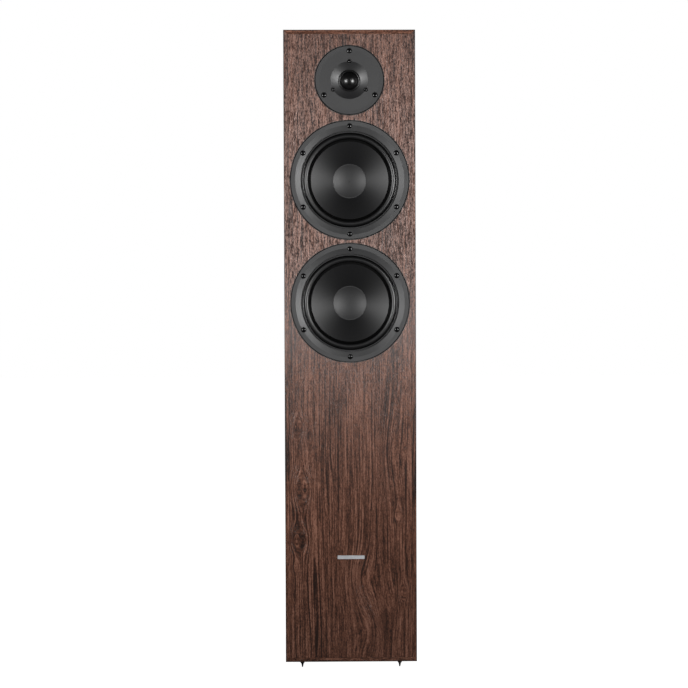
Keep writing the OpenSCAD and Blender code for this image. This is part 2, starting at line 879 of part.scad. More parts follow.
// The rubber surround: glued outer bead, half roll and inner flange on the cone
module woofer_surround() {
    inner_r = roll_mid_r - roll_r;
    root_r = roll_mid_r + roll_r - roll_t;
    bead_in_r = root_r + 1.9;
    bead_out_r = seat_r - 0.8;
    bead_h = 1.6;
    flange_t = 0.6;
    flange_in = [cone_r - 1.5, cone_edge - flange_t + 0.04];
    rotate_extrude($fn = fn_round) {
        translate([roll_mid_r, roll_base]) half_roll(roll_r, roll_r - roll_t);
        translate([root_r, roll_base]) square([bead_out_r - root_r, roll_t]);
        translate([bead_in_r, roll_base]) square([bead_out_r - bead_in_r, bead_h]);
        polygon([
            [inner_r + 0.1, roll_base + 0.3], [inner_r + roll_t - 0.1, roll_base + 0.3],
            [inner_r + roll_t, roll_base - 0.45],
            flange_in, flange_in + [0, flange_t]
        ]);
    }
}

// The cone, bowed towards the front, with the neck that is glued round the voice coil's former
module woofer_cone() {
    side_angle = 26;         // mean slope of the side
    joint_h = 1.6;           // height of the glued foot behind the neck
    back = shifted(cone_side, [0, -cone_t / cos(side_angle)]);
    turned(concat(
        cone_side,
        [
            [neck_r, neck_z - neck_len], [neck_r + cone_t, neck_z - neck_len],
            [neck_r + cone_t, neck_z - joint_h]
        ],
        [for (p = reversed(back)) if (p[0] > neck_r + cone_t) p]
    ));
}

// The inverted cap: a shallow dish with a flat rim that is glued to the cone
module woofer_dust_cap() {
    dish_r = cap_r - cap_rim_w / 2;
    rotate_extrude($fn = fn_round) {
        intersection() {
            translate([0, cap_rim - cap_sag + cap_ball_r]) difference() {
                circle(r = cap_ball_r + cap_t, $fn = 4 * fn_round);
                circle(r = cap_ball_r, $fn = 4 * fn_round);
            }
            translate([0, cap_rim - cap_sag - 2 * cap_t]) square([dish_r, cap_sag + 2 * cap_t]);
        }
        translate([cap_r - cap_rim_w, cap_rim - cap_rim_t]) square([cap_rim_w, cap_rim_t]);
    }
}

module woofer_voice_coil() {
    former_top = neck_z - 0.8;
    turned([
        [former_r - former_t, winding_bottom], [winding_r, winding_bottom], [winding_r, winding_top],
        [former_r, winding_top], [former_r, former_top], [former_r - former_t, former_top]
    ]);
}

// The spider: a flat outer rim, even corrugations and a flat inner rim
module woofer_spider() {
    wave_in = 23;
    wave_out = 45;
    steps = 8 * spider_waves;
    wave_step = (wave_out - wave_in) / steps;
    crest = [for (i = [0:steps])
        [wave_in + wave_step * i, spider_seat + spider_wave_h * sin(360 * spider_waves * i / steps)]];
    top_line = concat([[spider_in_r, spider_seat]], crest, [[spider_out_r, spider_seat]]);
    turned(concat(top_line, reversed(shifted(top_line, [0, spider_t]))));
}

module woofer_top_plate() {
    ring(woofer_plate_r, winding_r + 0.8, woofer_plate_back, platform_back);
}

module woofer_magnet() {
    magnet_in_r = 24;
    ring(woofer_magnet_r, magnet_in_r, woofer_magnet_back, woofer_plate_back);
}

// The yoke: back plate and vented pole
module woofer_yoke() {
    vent_r = 6;
    chamfer = 2;
    pole_chamfer = 1;
    turned([
        [vent_r, woofer_yoke_back], [woofer_yoke_r - chamfer, woofer_yoke_back],
        [woofer_yoke_r, woofer_yoke_back + chamfer], [woofer_yoke_r, woofer_magnet_back],
        [woofer_pole_r, woofer_magnet_back], [woofer_pole_r, woofer_pole_top - pole_chamfer],
        [woofer_pole_r - pole_chamfer, woofer_pole_top], [vent_r, woofer_pole_top]
    ]);
}

module upper_woofer_basket() {
    color("#3a3a3d") on_front(upper_woofer_z) woofer_basket();
}

module upper_woofer_surround() {
    color("#121213") on_front(upper_woofer_z) woofer_surround();
}

module upper_woofer_cone() {
    color("#2c2c2f") on_front(upper_woofer_z) woofer_cone();
}

module upper_woofer_dust_cap() {
    color("#404043") on_front(upper_woofer_z) woofer_dust_cap();
}

module upper_woofer_voice_coil() {
    color("#b0622c") on_front(upper_woofer_z) woofer_voice_coil();
}

module upper_woofer_spider() {
    color("#b98a3c") on_front(upper_woofer_z) woofer_spider();
}

module upper_woofer_top_plate() {
    color("#9a9ca0") on_front(upper_woofer_z) woofer_top_plate();
}

module upper_woofer_magnet() {
    color("#3a3a3c") on_front(upper_woofer_z) woofer_magnet();
}

module upper_woofer_yoke() {
    color("#9a9ca0") on_front(upper_woofer_z) woofer_yoke();
}

module lower_woofer_basket() {
    color("#3a3a3d") on_front(lower_woofer_z) woofer_basket();
}

module lower_woofer_surround() {
    color("#121213") on_front(lower_woofer_z) woofer_surround();
}

module lower_woofer_cone() {
    color("#2c2c2f") on_front(lower_woofer_z) woofer_cone();
}

module lower_woofer_dust_cap() {
    color("#404043") on_front(lower_woofer_z) woofer_dust_cap();
}

module lower_woofer_voice_coil() {
    color("#b0622c") on_front(lower_woofer_z) woofer_voice_coil();
}

module lower_woofer_spider() {
    color("#b98a3c") on_front(lower_woofer_z) woofer_spider();
}

module lower_woofer_top_plate() {
    color("#9a9ca0") on_front(lower_woofer_z) woofer_top_plate();
}

module lower_woofer_magnet() {
    color("#3a3a3c") on_front(lower_woofer_z) woofer_magnet();
}

module lower_woofer_yoke() {
    color("#9a9ca0") on_front(lower_woofer_z) woofer_yoke();
}

module woofer_screws() {
    color("#2a2a2c") for (z = woofer_zs) on_front(z) around(woofer_screw_r, woofer_screw_angles)
        screw(woofer_head_r, 2.2, woofer_shank_r, woofer_screw_tip, -0.4);
}

module woofer_gaskets() {
    hole_r = woofer_shank_r + 0.6;
    color("#1c1c1c") for (z = woofer_zs) on_front(z) difference() {
        ring(woofer_r - 0.7, woofer_hole_r + 0.8, -woofer_recess, flange_back);
        around(woofer_screw_r, woofer_screw_angles) bar(hole_r, -woofer_recess - cut, flange_back + cut);
    }
}

side_panel_left();
side_panel_right();
top_panel();
bottom_panel();
front_baffle();
rear_panel();
upper_brace();
lower_brace();
damping_wadding();
port_tube();
name_badge();
spike_inserts();
spike_front_left();
spike_front_right();
spike_rear_left();
spike_rear_right();
terminal_cup();
terminal_cup_screws();
post_stud_red();
post_stud_black();
post_core_red();
post_core_black();
post_cap_red();
post_cap_black();
post_nuts();
crossover_board();
crossover_inductors();
crossover_capacitors();
crossover_resistors();
wiring_loom();
tweeter_faceplate();
tweeter_surround();
tweeter_dome();
tweeter_voice_coil();
tweeter_top_plate();
tweeter_magnet();
tweeter_yoke();
tweeter_rear_chamber();
tweeter_mounting_screws();
tweeter_assembly_screws();
upper_woofer_basket();
upper_woofer_surround();
upper_woofer_cone();
upper_woofer_dust_cap();
upper_woofer_voice_coil();
upper_woofer_spider();
upper_woofer_top_plate();
upper_woofer_magnet();
upper_woofer_yoke();
lower_woofer_basket();
lower_woofer_surround();
lower_woofer_cone();
lower_woofer_dust_cap();
lower_woofer_voice_coil();
lower_woofer_spider();
lower_woofer_top_plate();
lower_woofer_magnet();
lower_woofer_yoke();
woofer_screws();
woofer_gaskets();
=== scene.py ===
"""The looks of a floorstanding loudspeaker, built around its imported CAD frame.

Lengths are in metres. The drivers face -Y, the terminals face +Y, and +Z is up.
"""

import math

import bpy
from mathutils import Matrix, Vector, noise


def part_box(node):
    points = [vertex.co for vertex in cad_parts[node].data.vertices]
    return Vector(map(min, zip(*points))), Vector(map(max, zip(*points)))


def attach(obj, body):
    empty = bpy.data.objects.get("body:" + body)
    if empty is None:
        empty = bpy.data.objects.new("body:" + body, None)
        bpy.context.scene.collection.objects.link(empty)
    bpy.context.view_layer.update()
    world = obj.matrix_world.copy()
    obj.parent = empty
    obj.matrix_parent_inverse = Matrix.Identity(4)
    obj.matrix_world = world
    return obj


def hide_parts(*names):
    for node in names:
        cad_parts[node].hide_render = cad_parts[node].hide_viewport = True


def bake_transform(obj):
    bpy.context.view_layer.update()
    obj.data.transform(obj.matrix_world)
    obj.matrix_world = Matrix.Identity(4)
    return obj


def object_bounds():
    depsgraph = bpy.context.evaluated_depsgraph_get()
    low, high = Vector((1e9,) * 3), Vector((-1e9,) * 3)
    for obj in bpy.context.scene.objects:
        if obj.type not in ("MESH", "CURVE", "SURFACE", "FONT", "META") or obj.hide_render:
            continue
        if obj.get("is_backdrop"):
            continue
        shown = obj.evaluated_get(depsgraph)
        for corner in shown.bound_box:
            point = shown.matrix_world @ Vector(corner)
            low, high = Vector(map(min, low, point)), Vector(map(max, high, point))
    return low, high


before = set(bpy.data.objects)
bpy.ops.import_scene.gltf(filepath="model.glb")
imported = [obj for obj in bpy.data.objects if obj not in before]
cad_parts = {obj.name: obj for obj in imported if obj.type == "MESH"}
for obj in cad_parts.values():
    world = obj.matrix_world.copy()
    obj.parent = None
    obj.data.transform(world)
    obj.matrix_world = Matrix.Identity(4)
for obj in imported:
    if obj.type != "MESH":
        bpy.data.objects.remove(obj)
cad_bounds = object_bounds()

MM = 0.001

# ---------------------------------------------------------------- places, read from the frame

CABINET_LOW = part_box("side_panel_left")[0]
CABINET_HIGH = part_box("side_panel_right")[1]
FRONT = CABINET_LOW.y
HALF_WIDTH = CABINET_HIGH.x
BODY_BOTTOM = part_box("bottom_panel")[0].z
BODY_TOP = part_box("top_panel")[1].z


def middle(node):
    """The centre of a CAD node's box."""
    low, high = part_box(node)
    return (low + high) / 2


def half_width(node):
    """Half a CAD node's width along X, which is the outer radius of a round one."""
    low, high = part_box(node)
    return (high.x - low.x) / 2


def foremost(node):
    """How far a CAD node reaches in front of the baffle's face, negative when it stays behind."""
    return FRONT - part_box(node)[0].y


# A driver screw's head radius, and the radii of the circles that the screws stand on
SCREW_HEAD = 3.75 * MM
WOOFER_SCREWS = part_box("woofer_screws")[1].z - middle("upper_woofer_basket").z - SCREW_HEAD
TWEETER_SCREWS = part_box("tweeter_mounting_screws")[1].z - middle("tweeter_faceplate").z - SCREW_HEAD

# The round parts let into the front, and the gap between each and the wall of its recess
RECESSED = ("tweeter_faceplate", "upper_woofer_basket", "lower_woofer_basket")
RECESS_GAP = 1.1 * MM

# The heights between which the walnut's long flowing lines give way to short broken pores
CALM_HEIGHTS = (0.34, 0.62)

# ---------------------------------------------------------------- node trees


class Value:
    """A number, vector or colour made by a node. Arithmetic on it adds Math nodes to its tree."""

    def __init__(self, tree, socket):
        self.tree = tree
        self.socket = socket

    def math(self, operation, *others):
        node = self.tree.nodes.new("ShaderNodeMath")
        node.operation = operation
        for socket, value in zip(node.inputs, (self, *others)):
            connect(self.tree, value, socket)
        return Value(self.tree, node.outputs[0])

    def __add__(self, other):
        return self.math("ADD", other)

    def __sub__(self, other):
        return self.math("SUBTRACT", other)

    def __mul__(self, other):
        return self.math("MULTIPLY", other)

    def __truediv__(self, other):
        return self.math("DIVIDE", other)

    def __neg__(self):
        return self * -1.0

    def __rsub__(self, other):
        return -self + other

    def __abs__(self):
        return self.math("ABSOLUTE")

    __radd__ = __add__
    __rmul__ = __mul__

    def step(self, low, high):
        """0 at low and 1 at high, with a smooth turn between them. low may be the larger."""
        node = self.tree.nodes.new("ShaderNodeMapRange")
        node.interpolation_type = "SMOOTHSTEP"
        for name, value in (("Value", self), ("From Min", low), ("From Max", high)):
            connect(self.tree, value, node.inputs[name])
        return Value(self.tree, node.outputs["Result"])


def connect(tree, value, socket):
    """Link a node's value to a socket, or store a constant in it."""
    if isinstance(value, Value):
        tree.links.new(value.socket, socket)
    elif socket.type == "RGBA":
        socket.default_value = (*value, 1.0)
    else:
        socket.default_value = value


def srgb(red, green, blue):
    """A linear colour from screen levels of 0 to 255."""
    levels = [level / 255 for level in (red, green, blue)]
    return tuple(v / 12.92 if v <= 0.04045 else ((v + 0.055) / 1.055) ** 2.4 for v in levels)


def hypotenuse(a, b):
    """The length of the vector (a, b)."""
    return (a * a + b * b).math("SQRT")


def ridges(place, pitch):
    """Waves from 0 to 1 that repeat every pitch."""
    return (place * (math.tau / pitch)).math("SINE") * 0.5 + 0.5


def near_screws(radius, turn, circle, count):
    """1 in the holes round count screws on a circle, with one of them straight up: the mask of the
    painted shade in them.
    """
    straight_up = 0.25
    offset = ((turn - straight_up) * count + 0.5).math("FRACT") - 0.5
    aside = offset * (circle * math.tau / count)
    return hypotenuse(radius - circle, aside).step(SCREW_HEAD + 0.9 * MM, SCREW_HEAD + 0.4 * MM)


class Finish:
    """A material with a Principled shader, and short ways to build its textures.

    x, y and z are the point's place in the object's own frame, in metres.
    """

    def __init__(self, name, **constants):
        self.material = bpy.data.materials.new(name)
        self.material.use_nodes = True
        self.tree = self.material.node_tree
        self.shader = self.tree.nodes["Principled BSDF"]
        for socket, value in constants.items():
            connect(self.tree, value, self.shader.inputs[socket.replace("_", " ")])
        place = self.tree.nodes.new("ShaderNodeTexCoord").outputs["Object"]
        split = self.tree.nodes.new("ShaderNodeSeparateXYZ")
        self.tree.links.new(place, split.inputs[0])
        self.x, self.y, self.z = (Value(self.tree, out) for out in split.outputs)

    def constant(self, number):
        """A number as a Value, for a running maximum to start from."""
        node = self.tree.nodes.new("ShaderNodeValue")
        node.outputs[0].default_value = number
        return Value(self.tree, node.outputs[0])

    def vector(self, x, y, z):
        node = self.tree.nodes.new("ShaderNodeCombineXYZ")
        for socket, value in zip(node.inputs, (x, y, z)):
            connect(self.tree, value, socket)
        return Value(self.tree, node.outputs[0])

    def noise(self, x, y, z, detail=2.0, roughness=0.5):
        """Soft noise around 0.5, with cells about 1 unit of x, y and z apart."""
        node = self.tree.nodes.new("ShaderNodeTexNoise")
        connect(self.tree, self.vector(x, y, z), node.inputs["Vector"])
        for name, value in (("Scale", 1.0), ("Detail", detail), ("Roughness", roughness)):
            node.inputs[name].default_value = value
        return Value(self.tree, node.outputs["Fac"])

    def grains(self, scale, detail=2.0, roughness=0.5):
        """Noise that is the same in every direction, with scale cells a metre."""
        return self.noise(self.x * scale, self.y * scale, self.z * scale, detail, roughness)

    def cells(self, x, y, z):
        """The distance to the nearest of scattered points, about 1 unit of x, y and z apart."""
        node = self.tree.nodes.new("ShaderNodeTexVoronoi")
        connect(self.tree, self.vector(x, y, z), node.inputs["Vector"])
        node.inputs["Scale"].default_value = 1.0
        return Value(self.tree, node.outputs["Distance"])

    def pores(self, scale):
        """Cells that are the same in every direction, with scale of them a metre."""
        return self.cells(self.x * scale, self.y * scale, self.z * scale)

    def weave(self, pitch):
        turns = math.tau / pitch
        return (self.x * turns).math("SINE") * (self.z * turns).math("SINE") * 0.5 + 0.5

    def ramp(self, value, *stops):
        """A colour for each value, from (value, colour) stops."""
        node = self.tree.nodes.new("ShaderNodeValToRGB")
        connect(self.tree, value, node.inputs["Fac"])
        elements = node.color_ramp.elements
        while len(elements) < len(stops):
            elements.new(1.0)
        for element, (position, colour) in zip(elements, stops):
            element.position = position
            element.color = (*colour, 1.0)
        return Value(self.tree, node.outputs["Color"])

    def mix(self, share, first, second):
        """first where share is 0 and second where it is 1."""
        node = self.tree.nodes.new("ShaderNodeMix")
        node.data_type = "RGBA"
        connect(self.tree, share, node.inputs[0])
        connect(self.tree, first, node.inputs[6])
        connect(self.tree, second, node.inputs[7])
        return Value(self.tree, node.outputs[2])

    def around(self, centre):
        """(distance from an axis along Y through centre, angle about it in turns)."""
        across = self.x - centre.x
        up = self.z - centre.z
        return hypotenuse(across, up), up.math("ARCTAN2", across) / math.tau

    def colour(self, value):
        connect(self.tree, value, self.shader.inputs["Base Color"])

    def rough(self, value):
        connect(self.tree, value, self.shader.inputs["Roughness"])

    def stretch_gloss_across(self, axis):
        """Stretch anisotropic highlights at right angles to an axis, as grooves along it do."""
        tangent = self.tree.nodes.new("ShaderNodeTangent")
        tangent.direction_type = "RADIAL"
        tangent.axis = axis
        self.tree.links.new(tangent.outputs["Tangent"], self.shader.inputs["Tangent"])

    def bump(self, height, depth):
        """Relief: height is from 0 to 1, and depth is the relief's depth."""
        node = self.tree.nodes.new("ShaderNodeBump")
        node.inputs["Strength"].default_value = 1.0
        node.inputs["Distance"].default_value = depth
        connect(self.tree, height, node.inputs["Height"])
        self.tree.links.new(node.outputs["Normal"], self.shader.inputs["Normal"])


# ---------------------------------------------------------------- walnut


def pull_round(across, along, knot):
    """Bend the grain round a knot (across, along, half width, half length, strength).

    At a strength over 1 the grain closes into rings. It returns the bent grain and how near the
    knot is, from 0 to 1.
    """
    place_across, place_along, wide, long, strength = knot
    off_across = across - place_across
    aside = off_across / wide
    ahead = (along - place_along) / long
    nearness = (-(aside * aside + ahead * ahead)).math("EXPONENT")
    return across - off_across * nearness * strength, nearness


def sway(across, along, bend):
    """Push the grain sideways in an oval patch (across, along, half width, half length, shift)."""
    place_across, place_along, wide, long, shift = bend
    aside = (across - place_across) / wide
    ahead = (along - place_along) / long
    nearness = (-(aside * aside + ahead * ahead)).math("EXPONENT")
    return across - nearness * shift


# Noise cells to the metre (across the grain, along it), from the widest wander to the finest fleck
DRIFT = (9.0, 2.2)
WANDER = (50.0, 10.0)
BROAD_BANDS = (55.0, 1.3)
FINE_LINES = (440.0, 11.0)
DASHES = (570.0, 70.0)
FLECKS = (750.0, 330.0)
CRACKS = (620.0, 60.0)
RING_WARP = (60.0, 2.0)
VEIN_PATCHES = (30.0, 4.0)
RINGS_PER_METRE = 130.0


# The foil's colours, from its dark pores to its palest wood
WALNUT_TONES = (
    (0.12, srgb(32, 16, 10)),
    (0.4, srgb(73, 44, 32)),
    (0.62, srgb(95, 61, 47)),
    (0.95, srgb(130, 91, 75)),
)


class Walnut(Finish):
    """Embossed walnut foil. along, across and depth name the axes of the grain."""

    def __init__(self, name, along, across, depth, seed):
        super().__init__(name, Specular_IOR_Level=0.46, Anisotropic=0.8)
        self.stretch_gloss_across("Z" if along == "z" else "X")
        self.run, self.side, self.deep = (getattr(self, axis) for axis in (along, across, depth))
        self.seed = seed

    def layer(self, place, cells, detail=2.0, roughness=0.5, offset=0.0):
        """Noise stretched along the grain, where place is the distance across it."""
        wide, long = cells
        start = self.run * long + (self.seed + offset)
        return self.noise(place * wide, self.deep * wide, start, detail, roughness)

    def grain(self, knots, bends):
        """(distance across the grain once it wanders and bends, how near the nearest knot is)."""
        drift = self.layer(self.side, DRIFT) - 0.5
        wander = self.layer(self.side, WANDER) - 0.5
        line = self.side + drift * 0.014 + wander * 0.0022
        swirl = self.constant(0.0)
        for knot in knots:
            line, nearness = pull_round(line, self.run, knot)
            swirl = swirl.math("MAXIMUM", nearness)
        for bend in bends:
            line = sway(line, self.run, bend)
        return line, swirl

    def rings(self, line, broad, swirl):
        """(growth rings from 0 to 1, the dark veins where some of them meet)."""
        warp = self.layer(line, RING_WARP, 1.0) * 4.0
        figure = (line + broad * 0.006) * RINGS_PER_METRE + warp
        edge = figure.math("PINGPONG", 0.5).step(0.13, 0.03)
        veined = self.layer(line, VEIN_PATCHES, 1.0, offset=7.0).step(0.38, 0.56)
        veined = veined.math("MAXIMUM", swirl.step(0.15, 0.4))
        return figure.math("FRACT"), edge * veined

    def character(self, calm):
        """(how flowing the lines are, how broken the pores are, how much the gloss varies)."""
        if calm is None:
            return 0.75, 0.75, 0.5
        low, high = calm
        broken = self.run.step(low, high) * 0.8 + 0.2
        return 1.2 - broken * 0.7, broken, self.run.step(low + 0.12, high + 0.06)

    def tint(self, tone, holes):
        """The colour by tone, with painted shade on the folded edges, and black on the walls of the
        holes and, as painted shade, just round them.
        """
        tint = self.ramp(tone, *WALNUT_TONES)
        # Painted shade: the cabinet's rounded front and rear edges darkened
        tint = self.mix(edge_shade(self), tint, srgb(24, 11, 8))
        # Black on the recess walls, which the real cabinet has painted black, and painted shade on
        # the foil within 0.8 mm of them, where the gap's shadow falls
        for centre, size in holes:
            radius, _ = self.around(centre)
            tint = self.mix(radius.step(size + 0.8 * MM, size + 0.4 * MM), tint, srgb(3, 3, 3))
        return tint


def walnut(name, along, across, depth, seed, knots=(), bends=(), calm=None, holes=()):
    """A panel's walnut foil.

    calm is the pair of heights between which long flowing lines give way to short broken pores, and
    holes are the (centre, radius) of the recesses, whose raw walls are painted black; the black runs
    a little onto the foil round them as painted shade of the gap.
    """
    wood = Walnut(name, along, across, depth, seed)
    line, swirl = wood.grain(knots, bends)
    broad = wood.layer(line, BROAD_BANDS) - 0.5
    lines = wood.layer(line, FINE_LINES, 2.0, 0.6) - 0.5
    dashes = wood.layer(line, DASHES, 1.0, 0.6) - 0.5
    flecks = wood.layer(line, FLECKS, 1.0) - 0.5
    cracks = abs(wood.layer(line, CRACKS, 1.0, offset=5.0) - 0.5).step(0.07, 0.0)
    ring, veins = wood.rings(line, broad, swirl)
    flowing, broken, sheen = wood.character(calm)

    tone = broad * 0.35 + lines * (flowing * 0.8 + 0.8) + dashes * (broken * 0.7 + 0.5)
    tone = tone + flecks * (broken * 0.8 + 0.7) + (ring - 0.5) * flowing * 0.1 - cracks * 0.25
    tone = tone - veins * flowing * 0.4 - swirl * flowing * 0.06 + 0.6
    wood.colour(wood.tint(tone, holes))
    # The softboxes stand well to the side, so the duller foil is, the paler it looks from the front
    gloss = dashes * 1.2 - cracks * 0.2 + flecks * 0.8 - 0.24
    wood.rough((0.3 - gloss * sheen).math("MAXIMUM", 0.28))
    wood.bump(0.5 + dashes * broken + lines * 0.15 - cracks * 0.3, 0.2 * MM)
    return wood.material


def edge_shade(wood):
    """0.85 along the cabinet's folded front and rear edges: painted shade where the foil turns over
    the rounding.
    """
    from_side = HALF_WIDTH - abs(wood.x)
    from_end = (BODY_TOP - BODY_BOTTOM) / 2 - abs(wood.z - (BODY_TOP + BODY_BOTTOM) / 2)
    from_front = abs(abs(wood.y) + FRONT)
    corner = from_side.math("MINIMUM", from_end)
    return corner.step(1.7 * MM, 0.5 * MM) * from_front.step(2.5 * MM, 1.2 * MM) * 0.85


def baffle_figure():
    """(knots, bends) of the front: a row of knots up the left, and long bends up the right."""
    left = -HALF_WIDTH + 21 * MM
    # Across, height over the cabinet's foot, half width, half length, strength
    knots = [
        (left, 0.366, 0.009, 0.018, 1.6),
        (left + 0.017, 0.350, 0.006, 0.013, 1.5),
        (left + 0.006, 0.269, 0.011, 0.026, 1.9),
        (left + 0.001, 0.190, 0.012, 0.020, 1.8),
        (left - 0.004, 0.149, 0.006, 0.012, 1.5),
        (HALF_WIDTH - 0.028, 0.228, 0.006, 0.012, 1.5),
        (HALF_WIDTH - 0.020, 0.107, 0.007, 0.015, 1.5),
    ]
    # Across, height over the cabinet's foot, half width, half length, shift
    bends = [
        (0.030, 0.045, 0.022, 0.045, 0.014),
        (0.016, 0.130, 0.026, 0.040, -0.012),
        (0.062, 0.320, 0.020, 0.070, -0.009),
        (0.070, 0.090, 0.014, 0.045, 0.007),
        (-0.005, 0.690, 0.050, 0.150, 0.010),
    ]
    knots = [(across, BODY_BOTTOM + up, *shape) for across, up, *shape in knots]
    bends = [(across, BODY_BOTTOM + up, *shape) for across, up, *shape in bends]
    return knots, bends


# ---------------------------------------------------------------- driver materials


def cast_frame(name, centre, radius_out):
    """Charcoal powder coat: smooth on the inner slope, worn at the rim, and painted shade in the
    screw holes.
    """
    coat = Finish(name, Specular_IOR_Level=1.0)
    speckle = coat.grains(2600.0, 1.0)
    blotch = coat.grains(60.0)
    radius, turn = coat.around(centre)
    screw_hole_shade = near_screws(radius, turn, WOOFER_SCREWS, 6)
    worn = (radius - radius_out).step(-1.0 * MM, -0.1 * MM) * coat.grains(400.0).step(0.45, 0.65)
    slope = (radius - radius_out).step(-6.4 * MM, -7.0 * MM)
    tint = coat.ramp(speckle, (0.3, srgb(14, 14, 15)), (0.75, srgb(30, 30, 31)))
    tint = coat.mix(worn * 0.2, tint, srgb(56, 56, 58))
    # Painted shade: near black in the screw holes, where the recessed heads sit in shadow
    coat.colour(coat.mix(screw_hole_shade, tint, srgb(4, 4, 4)))
    coat.rough(0.43 - slope * 0.06 + screw_hole_shade * 0.45 + (blotch - 0.5) * 0.08 + (speckle - 0.5) * 0.12)
    coat.bump(speckle, 0.014 * MM)
    return coat.material


def faceplate():
    """Charcoal plastic with a sparked texture: smooth in the waveguide, and painted shade in the
    screw holes.
    """
    plate = Finish("tweeter_plate", Specular_IOR_Level=0.8)
    radius, turn = plate.around(middle("tweeter_faceplate"))
    screw_hole_shade = near_screws(radius, turn, TWEETER_SCREWS, 3)
    flat = radius.step(28.4 * MM, 29.6 * MM)
    spark = plate.grains(2200.0, 2.0, 0.6)
    tint = plate.ramp(spark, (0.3, srgb(12, 12, 13)), (0.75, srgb(30, 30, 31)))
    # Painted shade: near black in the screw holes
    plate.colour(plate.mix(screw_hole_shade, tint, srgb(4, 4, 4)))
    plate.rough(0.42 + flat * 0.05 + screw_hole_shade * 0.45 + (spark - 0.5) * 0.16)
    plate.bump(spark * (flat * 0.7 + 0.3), 0.018 * MM)
    return plate.material


def rubber(name, centre, roll_in, roll_out):
    """Butyl rubber: a soft shine on the roll, painted shade that blackens the grooves beside it, and
    a dull bead painted paler for the thin lit ring at the seat.
    """
    skin = Finish(name, Specular_IOR_Level=0.55)
    radius, _ = skin.around(centre)
    bloom = skin.grains(90.0, 3.0)
    fine = skin.grains(1800.0, 2.0)
    dust = skin.grains(900.0, 0.0).step(0.78, 0.82)
    inner = radius.step(roll_in + 1.6 * MM, roll_in + 0.8 * MM)
    outer = abs(radius - roll_out).step(1.1 * MM, 0.5 * MM)
    groove = inner.math("MAXIMUM", outer)
    bead = radius.step(roll_out + 0.8 * MM, roll_out + 1.4 * MM)
    tint = skin.ramp(bloom, (0.3, srgb(6, 6, 7)), (0.7, srgb(12, 12, 13)))
    # Painted shade: the grooves beside the roll near black
    tint = skin.mix(groove, tint, srgb(3, 3, 3))
    # Painted highlight: the bead paler than the roll, for the thin lit ring along the seat
    tint = skin.mix(bead, tint, srgb(20, 20, 21))
    skin.colour(skin.mix(dust * 0.15, tint, srgb(70, 69, 68)))
    skin.rough(0.36 - groove * 0.23 + bead * 0.16 + (bloom - 0.5) * 0.04 + (fine - 0.5) * 0.04)
    skin.bump(fine, 0.002 * MM)
    return skin.material


def cone_paper(name, centre):
    """Coated paper pulp: matted fibres that lie along the cone, and faint rings from pressing."""
    paper = Finish(name, Specular_IOR_Level=0.38)
    radius, turn = paper.around(centre)
    fibres = paper.noise(radius * 500.0, turn * 260.0, 0.0, 3.0, 0.6)
    felt = paper.grains(1500.0, 3.0, 0.6)
    rings = ridges(radius, 1.6 * MM)
    tone = felt * 0.6 + fibres * 0.4
    paper.colour(paper.ramp(tone, (0.35, srgb(6, 6, 7)), (0.65, srgb(17, 17, 18))))
    paper.rough(0.43 + (felt - 0.5) * 0.14)
    paper.bump(tone + rings * 0.08, 0.03 * MM)
    return paper.material


def cap_fibre(name):
    """Pressed fibre cloth of the dust cap: a fine cross weave, a little paler than the cone."""
    cloth = Finish(name, Specular_IOR_Level=0.55)
    weave = cloth.weave(0.85 * MM)
    felt = cloth.grains(1300.0, 3.0, 0.6)
    tone = felt * 0.75 + weave * 0.25
    cloth.colour(cloth.ramp(tone, (0.3, srgb(11, 11, 12)), (0.7, srgb(26, 26, 27))))
    cloth.rough(0.5 + (felt - 0.5) * 0.16)
    cloth.bump(tone, 0.025 * MM)
    return cloth.material


def coated_silk(name):
    """Doped silk: a fine weave sunk in a black coating, a little glossier on the crown."""
    silk = Finish(name, Specular_IOR_Level=0.6)
    weave = silk.weave(0.38 * MM)
    doping = silk.grains(140.0, 2.0)
    radius, _ = silk.around(middle("tweeter_dome"))
    crown = radius.step(10.5 * MM, 6.5 * MM)
    silk.colour(silk.ramp(doping, (0.3, srgb(2, 2, 2)), (0.7, srgb(5, 5, 6))))
    silk.rough(0.3 - crown * 0.03 + (doping - 0.5) * 0.06 + weave * 0.03)
    silk.bump(weave, 0.004 * MM)
    return silk.material


# ---------------------------------------------------------------- other materials


def moulded_plastic(name, dark, light, roughness, texture=1700.0, **constants):
    """Moulded plastic with a fine texture and a slightly uneven shine."""
    plastic = Finish(name, **constants)
    spark = plastic.grains(texture, 2.0, 0.6)
    blotch = plastic.grains(45.0, 2.0)
    plastic.colour(plastic.ramp(spark * 0.6 + blotch * 0.4, (0.35, dark), (0.68, light)))
    plastic.rough(roughness + (blotch - 0.5) * 0.14 + (spark - 0.5) * 0.1)
    plastic.bump(spark, 0.03 * MM)
    return plastic.material


def turned_metal(name, dark, light, roughness, pitch=0.5 * MM):
    """Metal turned about an axis along Y: fine tool marks round the axis, and slight tarnish."""
    metal = Finish(name, Metallic=1.0)
    marks = metal.noise(0.0, metal.y / pitch, 0.0, 2.0)
    tarnish = metal.grains(260.0, 3.0, 0.6)
    metal.colour(metal.ramp(tarnish, (0.3, dark), (0.65, light)))
    metal.rough(roughness + (tarnish - 0.5) * 0.25 + (marks - 0.5) * 0.1)
    metal.bump(marks * 0.7 + tarnish * 0.3, 0.01 * MM)
    return metal.material


def brushed_plate(name, dark, light):
    """Satin metal brushed along X."""
    metal = Finish(name, Metallic=1.0, Anisotropic=0.6)
    hairs = metal.noise(metal.x * 160.0, metal.y * 900.0, metal.z * 9000.0, 3.0, 0.6)
    blotch = metal.grains(300.0, 2.0)
    metal.colour(metal.ramp(hairs * 0.8 + blotch * 0.2, (0.3, dark), (0.7, light)))
    metal.rough(0.44 + (hairs - 0.5) * 0.3)
    metal.bump(hairs, 0.008 * MM)
    return metal.material


